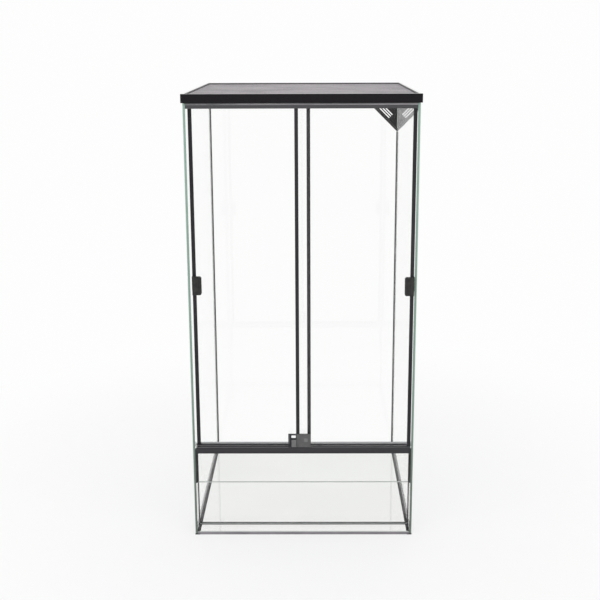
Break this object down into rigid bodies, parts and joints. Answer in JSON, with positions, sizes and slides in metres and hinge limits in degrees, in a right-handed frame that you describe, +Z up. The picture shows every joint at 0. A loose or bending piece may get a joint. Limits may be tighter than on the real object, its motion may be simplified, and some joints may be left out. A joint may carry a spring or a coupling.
{
  "type": "reptile terrarium",
  "caption": "Tall glass terrarium with sliding front doors, a push lock, a raised front air duct, a lift-off mesh lid and a slotted cable cover in the rear corner.",
  "frame": {"origin": "centre of the footprint, on the surface that the terrarium stands on", "axes": "+Z up, -Y towards the front with the sliding doors, +X to the right seen from the front"},
  "size_m": [0.456, 0.461, 0.9073],
  "materials": {
    "tank_glass": "clear, polished edges",
    "door_glass": "clear, polished edges",
    "black_silicone": "satin black silicone",
    "black_foam": "matt black",
    "black_rail": "satin black anodised",
    "vent_metal": "satin, perforated",
    "black_seal": "satin black",
    "glide_plastic": "matt",
    "black_plastic": "fine satin",
    "pad_foam": "matt",
    "lock_metal": "satin grey",
    "bolt_metal": "satin",
    "lid_black": "satin black powder coat",
    "mesh_metal": "woven wire"
  },
  "bodies": {
    "tank": {"left_pane": "tank_glass", "right_pane": "tank_glass", "rear_pane": "tank_glass", "floor_pane": "tank_glass", "inner_front_pane": "tank_glass", "outer_front_pane": "tank_glass", "corner_silicone": "black_silicone", "floor_silicone": "black_silicone", "inner_front_silicone": "black_silicone", "outer_front_silicone": "black_silicone", "base_strips": "black_foam", "floor_edge_strip": "black_silicone", "bottom_rail": "black_rail", "top_rail": "black_rail", "vent_strip": "vent_metal"},
    "left_door": {"left_door_glass": "door_glass", "left_door_outer_seal": "black_seal", "left_door_inner_seal": "black_seal", "left_door_glides": "glide_plastic", "left_door_grip": "black_plastic", "left_door_grip_pad": "pad_foam", "lock_strike": "lid_black"},
    "right_door": {"right_door_glass": "door_glass", "right_door_outer_seal": "black_seal", "right_door_inner_seal": "black_seal", "right_door_glides": "glide_plastic", "right_door_grip": "black_plastic", "right_door_grip_pad": "pad_foam", "lock_body": "lock_metal", "lock_pad": "pad_foam"},
    "lock_bolt": {"lock_bolt": "bolt_metal"},
    "lid": {"lid_front_bar": "lid_black", "lid_rear_bar": "lid_black", "lid_left_bar": "lid_black", "lid_right_bar": "lid_black", "lid_corner_keys": "black_plastic", "lid_mesh": "mesh_metal", "lid_spline": "black_seal", "lid_locators": "black_plastic"},
    "cable_cover": {"cable_cover": "black_plastic"}
  },
  "joints": [
    {"name": "left_door_slide", "type": "slide", "parent": "tank", "child": "left_door", "axis": [1, 0, 0], "range_m": [0, 0.1685]},
    {"name": "right_door_slide", "type": "slide", "parent": "tank", "child": "right_door", "axis": [1, 0, 0], "range_m": [-0.1685, 0]},
    {"name": "lock_push", "type": "slide", "parent": "right_door", "child": "lock_bolt", "axis": [0, 1, 0], "range_m": [0, 0.0025]},
    {"name": "lid_lift", "type": "slide", "parent": "tank", "child": "lid", "axis": [0, 0, 1], "range_m": [0, 0.05]},
    {"name": "cable_cover_pull", "type": "slide", "parent": "tank", "child": "cable_cover", "axis": [0, 1, 0], "range_m": [0, 0.03]}
  ]
}
